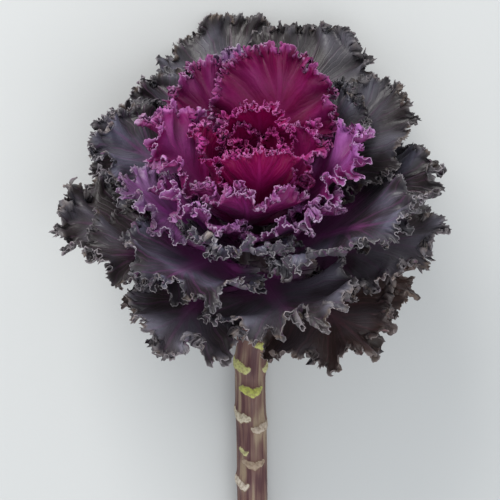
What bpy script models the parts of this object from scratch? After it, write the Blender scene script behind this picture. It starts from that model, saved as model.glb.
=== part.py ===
"""Purple kale bunch: one cut ornamental kale head lying on its back.

The head is a bent stem with a closed bud at its tip and thirty-nine leaves round it.
Millimetres are used for every number below and turned into metres when a mesh is made.
X is to the right, Y runs from the cut end of the stem to the top of the head, Z is up,
and the floor is Z = 0.

Every leaf lies on one of a family of bowls round the axis of the head. Bowl 0 is the
closed one at the heart, and each higher number opens wider and starts lower on the stem,
so two leaves on different bowls never cross, however they are turned round the axis.
"""

import math

import bmesh
import bpy
import numpy as np

MM = 0.001

# the head: where its heart is, and how far its axis rises from the floor
HEART = np.array([1.1, 63.6, 79.2])
HEAD_LEAN = 43.0

# the stem, measured along its axis from the heart, minus being towards the cut end
STEM_TOP = -28.5
BEND_FROM = -76.0
BEND_LENGTH = 34.0
STEM_SLOPE = 4.6
STEM_LENGTH = 206.0
STEM_RADIUS = 6.3
STEM_TIP_RADIUS = 1.6
STEM_CLEARANCE = 0.35
STEM_SIDES = 20
STEM_STEP = 4.0
STEM_FACET = 0.035

# leaf scars on the bare stem: distance below the heart, angle round it, height, half width
SCARS = (
    (115.0, 228.0, 1.3, 5.5),
    (105.0, 130.0, 1.2, 5.0),
    (114.5, 98.0, 1.0, 4.0),
    (125.0, 178.0, 1.4, 5.5),
    (136.0, 222.0, 1.2, 5.0),
    (140.0, 138.0, 1.2, 5.0),
    (151.0, 212.0, 0.7, 2.5),
    (155.5, 173.0, 1.0, 5.5),
    (164.0, 228.0, 1.4, 4.5),
    (178.0, 130.0, 1.0, 4.5),
)

# the family of bowls. For some bowl numbers: how far from the heart the leaf starts on the
# axis, the radius of the stem there, and the angle from the axis at which the leaf leaves
# the stem, passes its middle and ends, with the length to which the last angle belongs
BOWL = np.array([0.0, 6.0, 12.0, 18.0, 24.0, 30.0, 36.0, 42.0, 46.0])
BOWL_START = np.array([-29.5, -34.5, -40.0, -45.0, -50.0, -56.0, -62.0, -69.0, -74.0])
BOWL_RADIUS = np.array([2.0, 4.6, 6.0, 6.7, 7.0, 7.0, 7.0, 6.8, 6.6])
BOWL_FIRST = np.array([20.0, 30.0, 48.0, 58.0, 66.0, 72.0, 80.0, 95.0, 110.0])
BOWL_MIDDLE = np.array([5.0, 12.0, 35.0, 45.0, 55.0, 65.0, 78.0, 100.0, 125.0])
BOWL_LAST = np.array([-15.0, -5.0, 38.0, 48.0, 58.0, 68.0, 85.0, 115.0, 140.0])
BOWL_LENGTH = np.array([30.0, 36.0, 54.0, 62.0, 70.0, 76.0, 78.0, 74.0, 70.0])
LONGEST_LEAF = 110.0

# blade and petiole of a leaf, the petiole growing with the leaf up to a limit
BLADE_THICKNESS = 0.8
PETIOLE_THICKNESS = 2.6
PETIOLE_THICKNESS_SHARE = 0.036
PETIOLE_HALF_WIDTH = 2.5
PETIOLE_SHARE = 0.16
RIB_SHARE = 0.4
RIB_WIDTH = 3.5
BASE_GAP = 0.4
TIP_SHARE = 0.985
LEAF_ROWS = 8
LEAF_COLUMNS = 6

# the unopened bud at the tip of the stem
BUD_FROM = -27.9
BUD_TO = -6.0
BUD_RADIUS = 3.4
BUD_SIDES = 12
BUD_RINGS = 8

# the whole plant is a little out of true, and what would sink into the floor is turned up
WOBBLE = 2.2
WOBBLE_LENGTH = 95.0
FLOOR_SOFTNESS = 4.0

# name: bowl, angle round the axis (0 towards the top of the head, 90 to the right),
# length, half width, sideways sweep of the midrib in degrees
LEAVES = {
    "heart_leaf_01": (1.0, 137.0, 26.0, 7.0, 0.0),
    "heart_leaf_02": (2.0, 275.0, 28.0, 7.5, 0.0),
    "heart_leaf_03": (3.0, 52.0, 29.0, 8.0, 0.0),
    "heart_leaf_04": (4.0, 190.0, 30.0, 8.5, 0.0),
    "heart_leaf_05": (5.0, 327.0, 32.0, 9.0, 0.0),
    "inner_leaf_01": (6.0, 5.0, 41.0, 19.0, 3.0),
    "inner_leaf_02": (7.0, 178.0, 44.0, 18.0, -3.0),
    "inner_leaf_03": (8.2, 262.0, 42.0, 16.0, 4.0),
    "inner_leaf_04": (9.3, 75.0, 39.0, 16.0, -4.0),
    "middle_leaf_01": (11.0, 185.0, 43.0, 24.0, 4.0),
    "middle_leaf_02": (12.0, 18.0, 62.5, 28.0, -4.0),
    "middle_leaf_03": (13.0, 275.0, 52.0, 22.0, 5.0),
    "middle_leaf_04": (14.0, 102.0, 53.0, 24.0, -5.0),
    "middle_leaf_05": (15.0, 330.0, 59.0, 24.0, 4.0),
    "middle_leaf_06": (16.0, 225.0, 50.0, 22.0, -5.0),
    "middle_leaf_07": (17.0, 145.0, 50.0, 22.0, 5.0),
    "middle_leaf_08": (18.0, 50.0, 60.0, 24.0, -5.0),
    "middle_leaf_09": (19.0, 352.0, 65.0, 27.0, 4.0),
    "middle_leaf_10": (20.0, 192.0, 54.0, 24.0, -5.0),
    "middle_leaf_11": (21.0, 240.0, 57.0, 24.0, 6.0),
    "outer_leaf_01": (22.0, 55.0, 72.0, 34.0, 4.0),
    "outer_leaf_02": (23.0, 290.0, 67.0, 32.0, -4.0),
    "outer_leaf_03": (24.0, 124.0, 70.0, 34.0, 4.0),
    "outer_leaf_04": (25.0, 326.0, 70.0, 30.0, -4.0),
    "outer_leaf_05": (26.0, 16.0, 91.0, 34.0, 4.0),
    "outer_leaf_06": (27.0, 214.0, 67.0, 30.0, -5.0),
    "outer_leaf_07": (28.0, 86.0, 71.0, 31.0, 4.0),
    "outer_leaf_08": (29.0, 307.0, 72.0, 31.0, -4.0),
    "outer_leaf_09": (30.2, 351.0, 99.0, 35.0, 3.0),
    "outer_leaf_10": (31.0, 240.0, 66.0, 28.0, -3.0),
    "outer_leaf_11": (32.2, 167.0, 66.0, 31.0, -5.0),
    "outer_leaf_12": (33.4, 264.0, 71.0, 33.0, 3.0),
    "outer_leaf_13": (34.2, 104.0, 71.0, 30.0, -4.0),
    "skirt_leaf_01": (35.2, 28.0, 80.0, 32.0, 5.0),
    "skirt_leaf_02": (36.2, 211.0, 66.0, 27.0, -5.0),
    "skirt_leaf_03": (37.2, 322.0, 76.0, 32.0, -5.0),
    "skirt_leaf_04": (38.2, 138.0, 66.0, 32.0, 5.0),
    "skirt_leaf_05": (39.2, 234.0, 51.0, 26.0, -4.0),
    "skirt_leaf_06": (40.2, 98.0, 60.0, 28.0, 5.0),
}

# base colour and roughness of each kind of piece
SURFACES = {
    "stem": ((0.105, 0.042, 0.048), 0.55),
    "heart": ((0.23, 0.008, 0.075), 0.45),
    "inner": ((0.26, 0.010, 0.095), 0.45),
    "middle": ((0.17, 0.022, 0.090), 0.5),
    "outer": ((0.038, 0.030, 0.040), 0.5),
    "skirt": ((0.030, 0.024, 0.030), 0.55),
}

LEAN = math.radians(HEAD_LEAN)
AXIS = np.array([0.0, math.cos(LEAN), math.sin(LEAN)])
BACKWARD = np.array([0.0, math.sin(LEAN), -math.cos(LEAN)])
RIGHT = np.array([1.0, 0.0, 0.0])


def bowl_tables():
    """The radius and the height along the axis of every whole bowl at every millimetre."""
    numbers = np.arange(0.0, BOWL[-1] + 0.5)
    steps = np.arange(0.0, LONGEST_LEAF + 0.5)
    first, middle, last, length, start, radius = (
        np.interp(numbers, BOWL, knots)[:, None]
        for knots in (BOWL_FIRST, BOWL_MIDDLE, BOWL_LAST, BOWL_LENGTH, BOWL_START, BOWL_RADIUS)
    )
    halfway = (steps[:-1] + steps[1:]) / 2
    share = np.minimum(halfway[None, :] / length, 1.1)
    angle = np.radians(
        first * 2 * (share - 0.5) * (share - 1)
        - middle * 4 * share * (share - 1)
        + last * 2 * share * (share - 0.5)
    )
    away = PETIOLE_THICKNESS / 2 * np.abs(np.cos(np.radians(first))) + BASE_GAP
    nothing = np.zeros((len(numbers), 1))
    out = np.hstack([nothing, np.cumsum(np.sin(angle), axis=1)]) + radius + away
    up = np.hstack([nothing, np.cumsum(np.cos(angle), axis=1)]) + start
    return out, up


BOWL_OUT, BOWL_UP = bowl_tables()


def on_bowl(table, number, along):
    """A table's value between whole bowls and whole millimetres."""
    i = np.clip(np.floor(number).astype(int), 0, table.shape[0] - 2)
    j = np.clip(np.floor(along).astype(int), 0, table.shape[1] - 2)
    a, b = number - i, along - j
    low = table[i, j] * (1 - b) + table[i, j + 1] * b
    high = table[i + 1, j] * (1 - b) + table[i + 1, j + 1] * b
    return low * (1 - a) + high * a


def out_of_true(points):
    """Points after the plant's slow irregularity."""
    turn = 2 * math.pi / WOBBLE_LENGTH
    x, y, z = points[..., 0], points[..., 1], points[..., 2]
    in_head = np.clip((y + 70) / 70, 0.15, 1)
    moved = points + WOBBLE * np.stack(
        [
            0.7 * np.sin(turn * (y + 0.7 * z) + 0.6) * in_head,
            0.8 * np.sin(turn * (x * 0.9 + 0.5 * z) + 2.1),
            np.sin(turn * (x * 1.1 - 0.6 * y) + 4.0) * np.clip(z / 30, 0, 1),
        ],
        axis=-1,
    )
    return moved


def turned_up(points):
    """Points of a leaf after the floor has turned up what would sink into it."""
    moved = points.copy()
    moved[..., 2] = FLOOR_SOFTNESS * np.logaddexp(0.0, points[..., 2] / FLOOR_SOFTNESS)
    return moved


def head_point(out, up, angle):
    """World points of the head from radius, height along the axis and angle round it."""
    straight = (
        HEART
        + up[..., None] * AXIS
        + (out * np.cos(angle))[..., None] * BACKWARD
        + (out * np.sin(angle))[..., None] * RIGHT
    )
    return turned_up(out_of_true(straight))


def half_width(share, widest, length):
    """Half the width of a leaf at each share of its length."""
    blade = np.sin(math.pi * share**1.7) ** (0.9 - 0.35 * share)
    petiole = min(PETIOLE_HALF_WIDTH, 0.035 * length)
    return np.hypot(widest * blade, petiole * (1 - share))


def make_surface(name, colour, roughness):
    surface = bpy.data.materials.new(name)
    surface.use_nodes = True
    shader = surface.node_tree.nodes["Principled BSDF"]
    shader.inputs["Base Color"].default_value = (*colour, 1.0)
    shader.inputs["Roughness"].default_value = roughness
    surface.diffuse_color = (*colour, 1.0)
    return surface


def add_piece(name, unit, place, plant, look):
    """One piece of the plant, made from a unit shape by moving its vertices.

    unit is a bmesh, and place turns its vertices' coordinates into world millimetres and a
    world origin for the object. The piece hangs on the plant's empty.
    """
    flat = np.array([vertex.co for vertex in unit.verts])
    points, origin = place(flat)
    for vertex, point in zip(unit.verts, (points - origin) * MM):
        vertex.co = point
    unit.normal_update()
    bmesh.ops.recalc_face_normals(unit, faces=unit.faces)
    mesh = bpy.data.meshes.new(name)
    unit.to_mesh(mesh)
    unit.free()
    mesh.shade_smooth()
    mesh.materials.append(make_surface(name, *look))
    piece = bpy.data.objects.new(name, mesh)
    piece.location = origin * MM
    piece.parent = plant
    bpy.context.scene.collection.objects.link(piece)
    return piece, flat


def add_leaf(name, bowl, angle, length, widest, sweep, plant, look):
    """A leaf as a sheet of quads on its bowl, thick at the petiole and thin in the blade."""

    def place(flat):
        share = ((flat[:, 1] + 1) / 2) ** 0.9 * TIP_SHARE
        out = on_bowl(BOWL_OUT, np.full_like(share, bowl), share * length)
        up = on_bowl(BOWL_UP, np.full_like(share, bowl), share * length)
        across = flat[:, 0] * half_width(share, widest, length)
        turn = np.radians(angle + sweep * share**2) + across / out
        root = on_bowl(BOWL_OUT, np.array([bowl]), np.array([0.0]))
        foot = on_bowl(BOWL_UP, np.array([bowl]), np.array([0.0]))
        return head_point(out, up, turn), head_point(root, foot, np.radians([angle]))[0]

    sheet = bmesh.new()
    bmesh.ops.create_grid(sheet, x_segments=LEAF_COLUMNS, y_segments=LEAF_ROWS, size=1.0)
    leaf, flat = add_piece(name, sheet, place, plant, look)
    thickest = min(PETIOLE_THICKNESS, PETIOLE_THICKNESS_SHARE * length)
    blade = min(BLADE_THICKNESS, thickest / 2)
    share = ((flat[:, 1] + 1) / 2) ** 0.9 * TIP_SHARE
    across = flat[:, 0] * half_width(share, widest, length)
    rib = np.clip(1 - share / RIB_SHARE, 0, 1) * np.exp(-((across / RIB_WIDTH) ** 2))
    group = leaf.vertex_groups.new(name="thickness")
    for index, here in enumerate(blade + (thickest - blade) * rib):
        group.add([index], here / thickest, "REPLACE")
    solid = leaf.modifiers.new("Thickness", "SOLIDIFY")
    solid.thickness = thickest * MM
    solid.offset = 0.0
    solid.vertex_group = group.name


def stem_radius(below):
    """The radius of the stem at a distance below the heart, from its tip to the cut end."""
    crown = np.interp(-below, BOWL_START[::-1], BOWL_RADIUS[::-1]) - STEM_CLEARANCE
    tip = BOWL_RADIUS[0] - STEM_CLEARANCE
    crown = np.where(below < -BOWL_START[0], min(tip, STEM_TIP_RADIUS), crown)
    bare = np.clip((below + BOWL_START[-1]) / 20, 0, 1)
    return crown * (1 - bare) + STEM_RADIUS * bare


def stem_frames(below):
    """The middle of the stem and its upper direction at distances below the heart."""
    fine = np.arange(-STEM_TOP, STEM_LENGTH + 0.25, 0.25)
    slope = np.interp(fine, [-BEND_FROM, -BEND_FROM + BEND_LENGTH], [HEAD_LEAN, STEM_SLOPE])
    slope = np.radians(slope)
    start = HEART + STEM_TOP * AXIS
    y = start[1] - np.cumsum(np.cos(slope)) * 0.25
    z = start[2] - np.cumsum(np.sin(slope)) * 0.25
    nothing = np.zeros_like(below)
    middle = np.stack(
        [nothing + HEART[0], np.interp(below, fine, y), np.interp(below, fine, z)], axis=-1
    )
    slope = np.interp(below, fine, slope)
    return middle, np.stack([nothing, np.sin(slope), -np.cos(slope)], axis=-1)


def add_stem(plant, look):
    """The stem: a unit cylinder cut into rings, bent along the plant and given its scars."""

    def place(flat):
        below = (STEM_LENGTH - STEM_TOP) / 2 + flat[:, 2] * (STEM_LENGTH + STEM_TOP)
        angle = np.arctan2(flat[:, 1], flat[:, 0])
        middle, backward = stem_frames(below)
        radius = stem_radius(below) * (1 - STEM_FACET * (1 + np.cos(5 * angle)) / 2)
        for distance, turned, height, wide in SCARS:
            around = (angle - math.radians(turned) + math.pi) % (2 * math.pi) - math.pi
            far = ((below - distance) / 2.4) ** 2 + (around * STEM_RADIUS / wide) ** 2
            radius = radius + height * np.exp(-far)
        points = (
            middle
            + (radius * np.cos(angle))[:, None] * backward
            + (radius * np.sin(angle))[:, None] * RIGHT
        )
        return out_of_true(points), out_of_true(HEART + STEM_TOP * AXIS)

    unit = bmesh.new()
    bmesh.ops.create_cone(
        unit, cap_ends=True, segments=STEM_SIDES, radius1=1.0, radius2=1.0, depth=1.0
    )
    rings = int(round((STEM_LENGTH + STEM_TOP) / STEM_STEP))
    along = [edge for edge in unit.edges if abs(edge.verts[0].co.z - edge.verts[1].co.z) > 0.5]
    bmesh.ops.subdivide_edges(unit, edges=along, cuts=rings - 1, use_grid_fill=True)
    add_piece("stem", unit, place, plant, look)


def add_bud(plant, look):
    """The unopened bud: an egg along the axis, just clear of the tip of the stem."""

    def place(flat):
        angle = np.arctan2(flat[:, 1], flat[:, 0])
        up = (BUD_FROM + BUD_TO) / 2 - flat[:, 2] * (BUD_TO - BUD_FROM) / 2
        out = BUD_RADIUS * np.hypot(flat[:, 0], flat[:, 1]) ** 0.8
        return head_point(out, up, angle), head_point(*np.array([[0.0], [BUD_FROM], [0.0]]))[0]

    unit = bmesh.new()
    bmesh.ops.create_uvsphere(unit, u_segments=BUD_SIDES, v_segments=BUD_RINGS, radius=1.0)
    add_piece("heart_bud", unit, place, plant, look)


def main():
    for obj in list(bpy.data.objects):
        bpy.data.objects.remove(obj, do_unlink=True)
    plant = bpy.data.objects.new("kale", None)
    bpy.context.scene.collection.objects.link(plant)
    add_stem(plant, SURFACES["stem"])
    add_bud(plant, SURFACES["heart"])
    for name, shape in LEAVES.items():
        add_leaf(name, *shape, plant, SURFACES[name.split("_")[0]])


main()
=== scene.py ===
"""Looks of one purple kale bunch: a cut ornamental kale head that lies on its back.

Every leaf is a thin closed shell. It starts as a flat leaf outline on one bowl of a nest
of bowls round the axis of the head, as in the solid model, and its edge is then folded,
curled and toothed. Lengths are millimetres until a mesh is made, X is to the right, Y runs
from the cut end of the stem to the top of the head, Z is up and the floor is Z = 0.
"""

import logging
import math
from collections.abc import Callable, Iterator
from contextlib import contextmanager
from dataclasses import dataclass
from enum import Enum
from functools import cached_property, reduce
from typing import Any, ClassVar, Union

import bpy
import numpy as np
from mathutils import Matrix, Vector


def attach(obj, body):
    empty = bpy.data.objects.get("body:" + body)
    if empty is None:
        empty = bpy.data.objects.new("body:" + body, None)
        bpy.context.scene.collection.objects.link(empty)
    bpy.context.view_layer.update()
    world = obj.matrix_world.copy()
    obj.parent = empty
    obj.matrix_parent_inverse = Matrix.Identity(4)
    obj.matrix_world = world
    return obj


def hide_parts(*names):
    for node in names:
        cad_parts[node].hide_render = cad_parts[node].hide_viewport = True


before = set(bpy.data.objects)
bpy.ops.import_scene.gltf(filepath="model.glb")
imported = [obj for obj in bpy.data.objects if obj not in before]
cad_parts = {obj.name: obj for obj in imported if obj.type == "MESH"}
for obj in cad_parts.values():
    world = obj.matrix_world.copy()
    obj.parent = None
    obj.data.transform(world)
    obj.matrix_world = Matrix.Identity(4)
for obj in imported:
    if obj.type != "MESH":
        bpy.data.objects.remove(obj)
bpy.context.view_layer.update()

Array = np.ndarray
Colour = tuple[float, float, float]
Place = tuple[float, float, float]
Knots = tuple[float, ...]
MM = 0.001
LOG = logging.getLogger("kale")


def smooth(share: Array) -> Array:
    """Bend a straight rise from 0 to 1 so that it starts and ends level."""
    return share * share * (3.0 - 2.0 * share)


def ease(low: float, high: float, value: Array) -> Array:
    """Rise smoothly from 0 at the low value to 1 at the high one."""
    return smooth(np.clip((value - low) / (high - low), 0.0, 1.0))


def unit(vectors: Array) -> Array:
    """Scale vectors along the last axis to length 1, or nearly 0 if they have none."""
    return vectors / np.maximum(np.linalg.norm(vectors, axis=-1, keepdims=True), 1e-9)


def fill_array(items: Any, key: str, width: int, kind: type) -> Array:
    """Read one property of all of a mesh's items.

    Args:
        items: The mesh's vertices or edges.
        key: The property.
        width: How many numbers it has.
        kind: The numbers' type.

    Returns:
        A row of numbers for each item.
    """
    flat = np.empty(len(items) * width, kind)
    items.foreach_get(key, flat)
    return flat.reshape(-1, width)


def table_of(*columns: Any) -> Array:
    """Set numbers and rows of numbers side by side as the columns of a table."""
    return np.stack(np.broadcast_arrays(*columns), axis=-1)


def store_readings(mesh: bpy.types.Mesh, readings: dict[str, Array]) -> None:
    """Store numbers on a mesh's points, for its material to read.

    Args:
        mesh: The mesh.
        readings: The numbers of all points by their name.
    """
    for label, values in readings.items():
        reading = mesh.attributes.new(label, "FLOAT", "POINT")
        reading.data.foreach_set("value", values.astype(np.float32))


@contextmanager
def picked(items: Any, kind: str, which: Array) -> Iterator[None]:
    """Hold some edges or faces of the active mesh selected in edit mode.

    Args:
        items: The mesh's edges or faces.
        kind: "EDGE" or "FACE".
        which: For each of them, whether it is selected.

    Yields:
        Nothing.
    """
    bpy.ops.object.mode_set(mode="EDIT")
    bpy.ops.mesh.select_mode(type=kind)
    bpy.ops.mesh.select_all(action="DESELECT")
    bpy.ops.object.mode_set(mode="OBJECT")
    items.foreach_set("select", which)
    bpy.ops.object.mode_set(mode="EDIT")
    yield
    bpy.ops.object.mode_set(mode="OBJECT")


def settle(piece: bpy.types.Object, node: str) -> bpy.types.Object:
    """Let a finished piece take the place of its solid node.

    Args:
        piece: The piece.
        node: The name of the node.

    Returns:
        The same piece.
    """
    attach(piece, "root")
    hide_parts(node)
    LOG.info("%s: %d faces", piece.name, len(piece.data.polygons))
    return piece


class Wander:
    """A smooth random line between -1 and 1 that is the same on every run."""

    def __init__(self, draw: np.random.Generator, knots: int = 128) -> None:
        """Draw as many knots as the line has before it repeats."""
        self.knots = draw.uniform(-1.0, 1.0, knots)

    def at(self, place: Array) -> Array:
        """Read the line.

        Args:
            place: Places along the line, one knot to a unit.

        Returns:
            The value at each place.
        """
        whole = np.floor(place).astype(int)
        share = smooth(place - whole)
        count = len(self.knots)
        return self.knots[whole % count] * (1 - share) + self.knots[(whole + 1) % count] * share


def between(table: tuple[tuple[float, tuple[Any, ...]], ...], bowl: float) -> list[Any]:
    """Read a table that says how leaves look on some of the bowls.

    Args:
        table: Bowl numbers, each with a row of numbers and colours.
        bowl: A bowl number.

    Returns:
        The row for that bowl, between the nearest ones of the table.
    """
    knots = [key for key, _ in table]
    row: list[Any] = []
    for known in (np.array(part) for part in zip(*(entry for _, entry in table))):
        if known.ndim == 1:
            row.append(float(np.interp(bowl, knots, known)))
        else:
            row.append(tuple(float(np.interp(bowl, knots, part)) for part in known.T))
    return row


class Ring(Enum):
    """The rings of leaves from the heart outwards, by their material slot."""

    HEART = "heart_leaf"
    INNER = "inner_leaf"
    MIDDLE = "middle_leaf"
    OUTER = "outer_leaf"
    SKIRT = "skirt_leaf"


@dataclass(frozen=True)
class BowlFamily:
    """The nest of bowls on which the leaves lie, from the closed heart to the open skirt.

    The first fields give, for some bowl numbers, the height on the axis where the bowl leaves
    the stem, the stem's radius there, and the bowl's angle from the axis at its foot, middle
    and end.
    """

    numbers: Knots = (0, 6, 12, 18, 24, 30, 36, 42, 46)
    starts: Knots = (-29.5, -34.5, -40, -45, -50, -56, -62, -69, -74)
    radii: Knots = (2, 4.6, 6, 6.7, 7, 7, 7, 6.8, 6.6)
    first: Knots = (20, 30, 48, 58, 66, 72, 80, 95, 110)
    middle: Knots = (5, 12, 35, 45, 55, 65, 78, 100, 125)
    last: Knots = (-15, -5, 38, 48, 58, 68, 85, 115, 140)
    lengths: Knots = (30, 36, 54, 62, 70, 76, 78, 74, 70)
    longest: float = 110.0
    petiole: float = 2.6
    gap: float = 0.4

    def read(self, knots: Knots, number: Any) -> Array:
        """Read one of the knot fields at bowl numbers."""
        return np.interp(number, self.numbers, knots)

    @cached_property
    def tables(self) -> tuple[Array, Array]:
        """Work out all whole bowls.

        Returns:
            The radius and the height on the axis of each bowl at each whole millimetre.
        """
        numbers = np.arange(0.0, self.numbers[-1] + 0.5)
        first, middle, last, length, start, radius = (
            self.read(knots, numbers)[:, None]
            for knots in (
                self.first, self.middle, self.last, self.lengths, self.starts, self.radii
            )
        )
        halfway = np.arange(0.0, self.longest) + 0.5
        share = np.minimum(halfway[None, :] / length, 1.1)
        angle = np.radians(
            first * 2 * (share - 0.5) * (share - 1)
            - middle * 4 * share * (share - 1)
            + last * 2 * share * (share - 0.5)
        )
        away = self.petiole / 2 * np.abs(np.cos(np.radians(first))) + self.gap
        foot = np.zeros((len(numbers), 1))
        out = np.hstack([foot, np.cumsum(np.sin(angle), axis=1)]) + radius + away
        up = np.hstack([foot, np.cumsum(np.cos(angle), axis=1)]) + start
        return out, up

    def at(self, number: float, along: Array) -> tuple[Array, Array]:
        """Find places on one bowl.

        Args:
            number: The bowl number.
            along: Distances from the bowl's foot.

        Returns:
            The radius from the axis and the height along it.
        """
        low = min(int(number), len(self.tables[0]) - 2)
        share = number - low
        reach = np.clip(along, 0.0, self.longest - 0.01)
        below = np.floor(reach).astype(int)
        part = reach - below
        out, up = (
            row[below] * (1 - part) + row[below + 1] * part
            for row in (table[low] * (1 - share) + table[low + 1] * share for table in self.tables)
        )
        return out, up


@dataclass(frozen=True)
class Posture:
    """How the plant lies: where its heart is, how its axis leans, and how it is out of true."""

    heart: Place = (1.1, 63.6, 79.2)
    lean: float = 43.0
    wobble: float = 2.2
    wobble_length: float = 95.0
    head_length: float = 70.0
    floor_softness: float = 4.0

    @cached_property
    def axes(self) -> tuple[Array, Array, Array]:
        """Find the head's directions.

        Returns:
            Its axis, its direction towards the floor, and its right.
        """
        lean = math.radians(self.lean)
        return (
            np.array([0.0, math.cos(lean), math.sin(lean)]),
            np.array([0.0, math.sin(lean), -math.cos(lean)]),
            np.array([1.0, 0.0, 0.0]),
        )

    def out_of_true(self, points: Array) -> Array:
        """Give points the plant's slow irregularity.

        Args:
            points: Points of the straight plant.

        Returns:
            The points after it.
        """
        turn = 2 * math.pi / self.wobble_length
        x, y, z = points[..., 0], points[..., 1], points[..., 2]
        in_head = np.clip((y + self.head_length) / self.head_length, 0.15, 1)
        return points + self.wobble * np.stack(
            [
                0.7 * np.sin(turn * (y + 0.7 * z) + 0.6) * in_head,
                0.8 * np.sin(turn * (x * 0.9 + 0.5 * z) + 2.1),
                np.sin(turn * (x * 1.1 - 0.6 * y) + 4.0) * np.clip(z / 30, 0, 1),
            ],
            axis=-1,
        )

    def above_floor(self, points: Array, softness: float) -> Array:
        """Turn up the points that would sink into the floor.

        Args:
            points: The points.
            softness: Height over which the turn happens.

        Returns:
            The points, all above the floor.
        """
        moved = points.copy()
        moved[..., 2] = softness * np.logaddexp(0.0, points[..., 2] / softness)
        return moved

    def head_point(self, out: Array, up: Array, turn: Array) -> Array:
        """Place points of the head.

        Args:
            out: Radius from the axis.
            up: Height along the axis.
            turn: Angle round the axis in radians, 0 towards the floor.

        Returns:
            The points, in the plant's lying place.
        """
        axis, backward, right = self.axes
        straight = (
            np.array(self.heart)
            + up[..., None] * axis
            + (out * np.cos(turn))[..., None] * backward
            + (out * np.sin(turn))[..., None] * right
        )
        return self.above_floor(self.out_of_true(straight), self.floor_softness)


@dataclass(frozen=True)
class LeafPlan:
    """Where one leaf grows and how large it is, as in the solid model."""

    name: str
    bowl: float
    angle: float
    length: float
    widest: float
    sweep: float

    @property
    def ring(self) -> Ring:
        """The ring that the leaf belongs to."""
        return Ring(self.name[:-3])

    def half_width(self, share: Array) -> Array:
        """Give half the width of the leaf.

        Args:
            share: Shares of its length, 0 at the foot.

        Returns:
            Half the width at each share.
        """
        share = np.clip(share, 0.0, 1.0)
        blade = np.maximum(np.sin(math.pi * share**1.7), 0.0) ** (0.9 - 0.35 * share)
        petiole = min(2.5, 0.035 * self.length)
        return np.hypot(self.widest * blade, petiole * (1 - share))

    def turn(self, across: Array, along: Array, out: Array) -> Array:
        """Give the angle round the axis of places on the leaf, at their radius from it."""
        share = along / self.length
        return np.radians(self.angle + self.sweep * share**2) + across / out


# for each leaf of a ring: bowl, angle round the axis, length, half width, sweep to the side
RINGS: dict[Ring, tuple[Knots, ...]] = {
    Ring.HEART: (
        (1, 137, 26, 7, 0), (2, 275, 28, 7.5, 0), (3, 52, 29, 8, 0), (4, 190, 30, 8.5, 0),
        (5, 327, 32, 9, 0),
    ),
    Ring.INNER: (
        (6, 5, 41, 19, 3), (7, 178, 44, 18, -3), (8.2, 262, 42, 16, 4), (9.3, 75, 39, 16, -4),
    ),
    Ring.MIDDLE: (
        (11, 185, 43, 24, 4), (12, 18, 62.5, 28, -4), (13, 275, 52, 22, 5),
        (14, 102, 53, 24, -5), (15, 330, 59, 24, 4), (16, 225, 50, 22, -5),
        (17, 145, 50, 22, 5), (18, 50, 60, 24, -5), (19, 352, 65, 27, 4), (20, 192, 54, 24, -5),
        (21, 240, 57, 24, 6),
    ),
    Ring.OUTER: (
        (22, 55, 72, 34, 4), (23, 290, 67, 32, -4), (24, 124, 70, 34, 4), (25, 326, 70, 30, -4),
        (26, 16, 91, 34, 4), (27, 214, 67, 30, -5), (28, 86, 71, 31, 4), (29, 307, 72, 31, -4),
        (30.2, 351, 99, 35, 3), (31, 240, 66, 28, -3), (32.2, 167, 66, 31, -5),
        (33.4, 264, 71, 33, 3), (34.2, 104, 71, 30, -4),
    ),
    Ring.SKIRT: (
        (35.2, 28, 80, 32, 5), (36.2, 211, 66, 27, -5), (37.2, 322, 76, 32, -5),
        (38.2, 138, 66, 32, 5), (39.2, 234, 51, 26, -4), (40.2, 98, 60, 28, 5),
    ),
}

LEAVES: tuple[LeafPlan, ...] = tuple(
    LeafPlan(f"{ring.value}_{number:02d}", *plan)
    for ring, plans in RINGS.items()
    for number, plan in enumerate(plans, 1)
)


@dataclass(frozen=True)
class Frill:
    """How the edge of a leaf is worked, in millimetres.

    The blade sways in broad waves. Its edge is folded into deep pleats, each pleat is curled
    again, and the outline has a rounded lobe at each crest with small teeth on it.
    """

    sway_period: float
    sway_height: float
    sway_reach: float
    fold_period: float
    fold_height: float
    fold_depth: float
    curl_period: float
    curl_height: float
    curl_depth: float
    lobe: float
    tooth_period: float
    tooth: float
    roll: float

    @classmethod
    def at(cls, bowl: float) -> "Frill":
        """Give the frill of the leaf on a bowl, between the nearest of the known ones."""
        return cls(*between(FRILLS, bowl))


# a bowl, and the fields of Frill in order for the leaves on it
FRILLS: tuple[tuple[float, Knots], ...] = (
    (0, (10, 0.4, 20, 2.4, 1.00, 1.5, 1.0, 0.50, 0.9, 0.8, 0.75, 0.55, 0.40)),
    (5, (12, 0.8, 20, 3.1, 1.45, 2.0, 1.2, 0.68, 1.1, 1.2, 0.82, 0.70, 0.34)),
    (8, (13, 2.0, 24, 4.0, 2.00, 3.0, 1.4, 0.84, 1.3, 1.6, 0.88, 0.82, 0.34)),
    (12, (16, 4.6, 24, 5.2, 2.90, 4.4, 1.7, 1.00, 1.5, 2.0, 0.95, 0.95, 0.36)),
    (16, (18, 3.6, 24, 6.6, 3.00, 5.0, 1.9, 1.00, 1.6, 2.2, 1.05, 1.00, 0.34)),
    (20, (21, 2.6, 20, 8.4, 2.60, 5.4, 2.1, 0.92, 1.7, 2.4, 1.15, 1.05, 0.30)),
    (24, (23, 3.2, 20, 10.4, 2.90, 6.2, 2.4, 0.95, 1.8, 2.4, 1.3, 1.10, 0.28)),
    (31, (24, 3.4, 20, 11.0, 3.00, 6.4, 2.4, 0.98, 1.8, 2.8, 1.35, 1.15, 0.27)),
    (34, (25, 3.6, 20, 11.0, 3.00, 6.2, 2.5, 0.98, 1.9, 5.0, 1.4, 1.20, 0.25)),
    (40, (26, 4.0, 20, 11.4, 2.10, 6.2, 2.6, 0.58, 1.8, 8.2, 1.4, 0.95, 0.18)),
)


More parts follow.
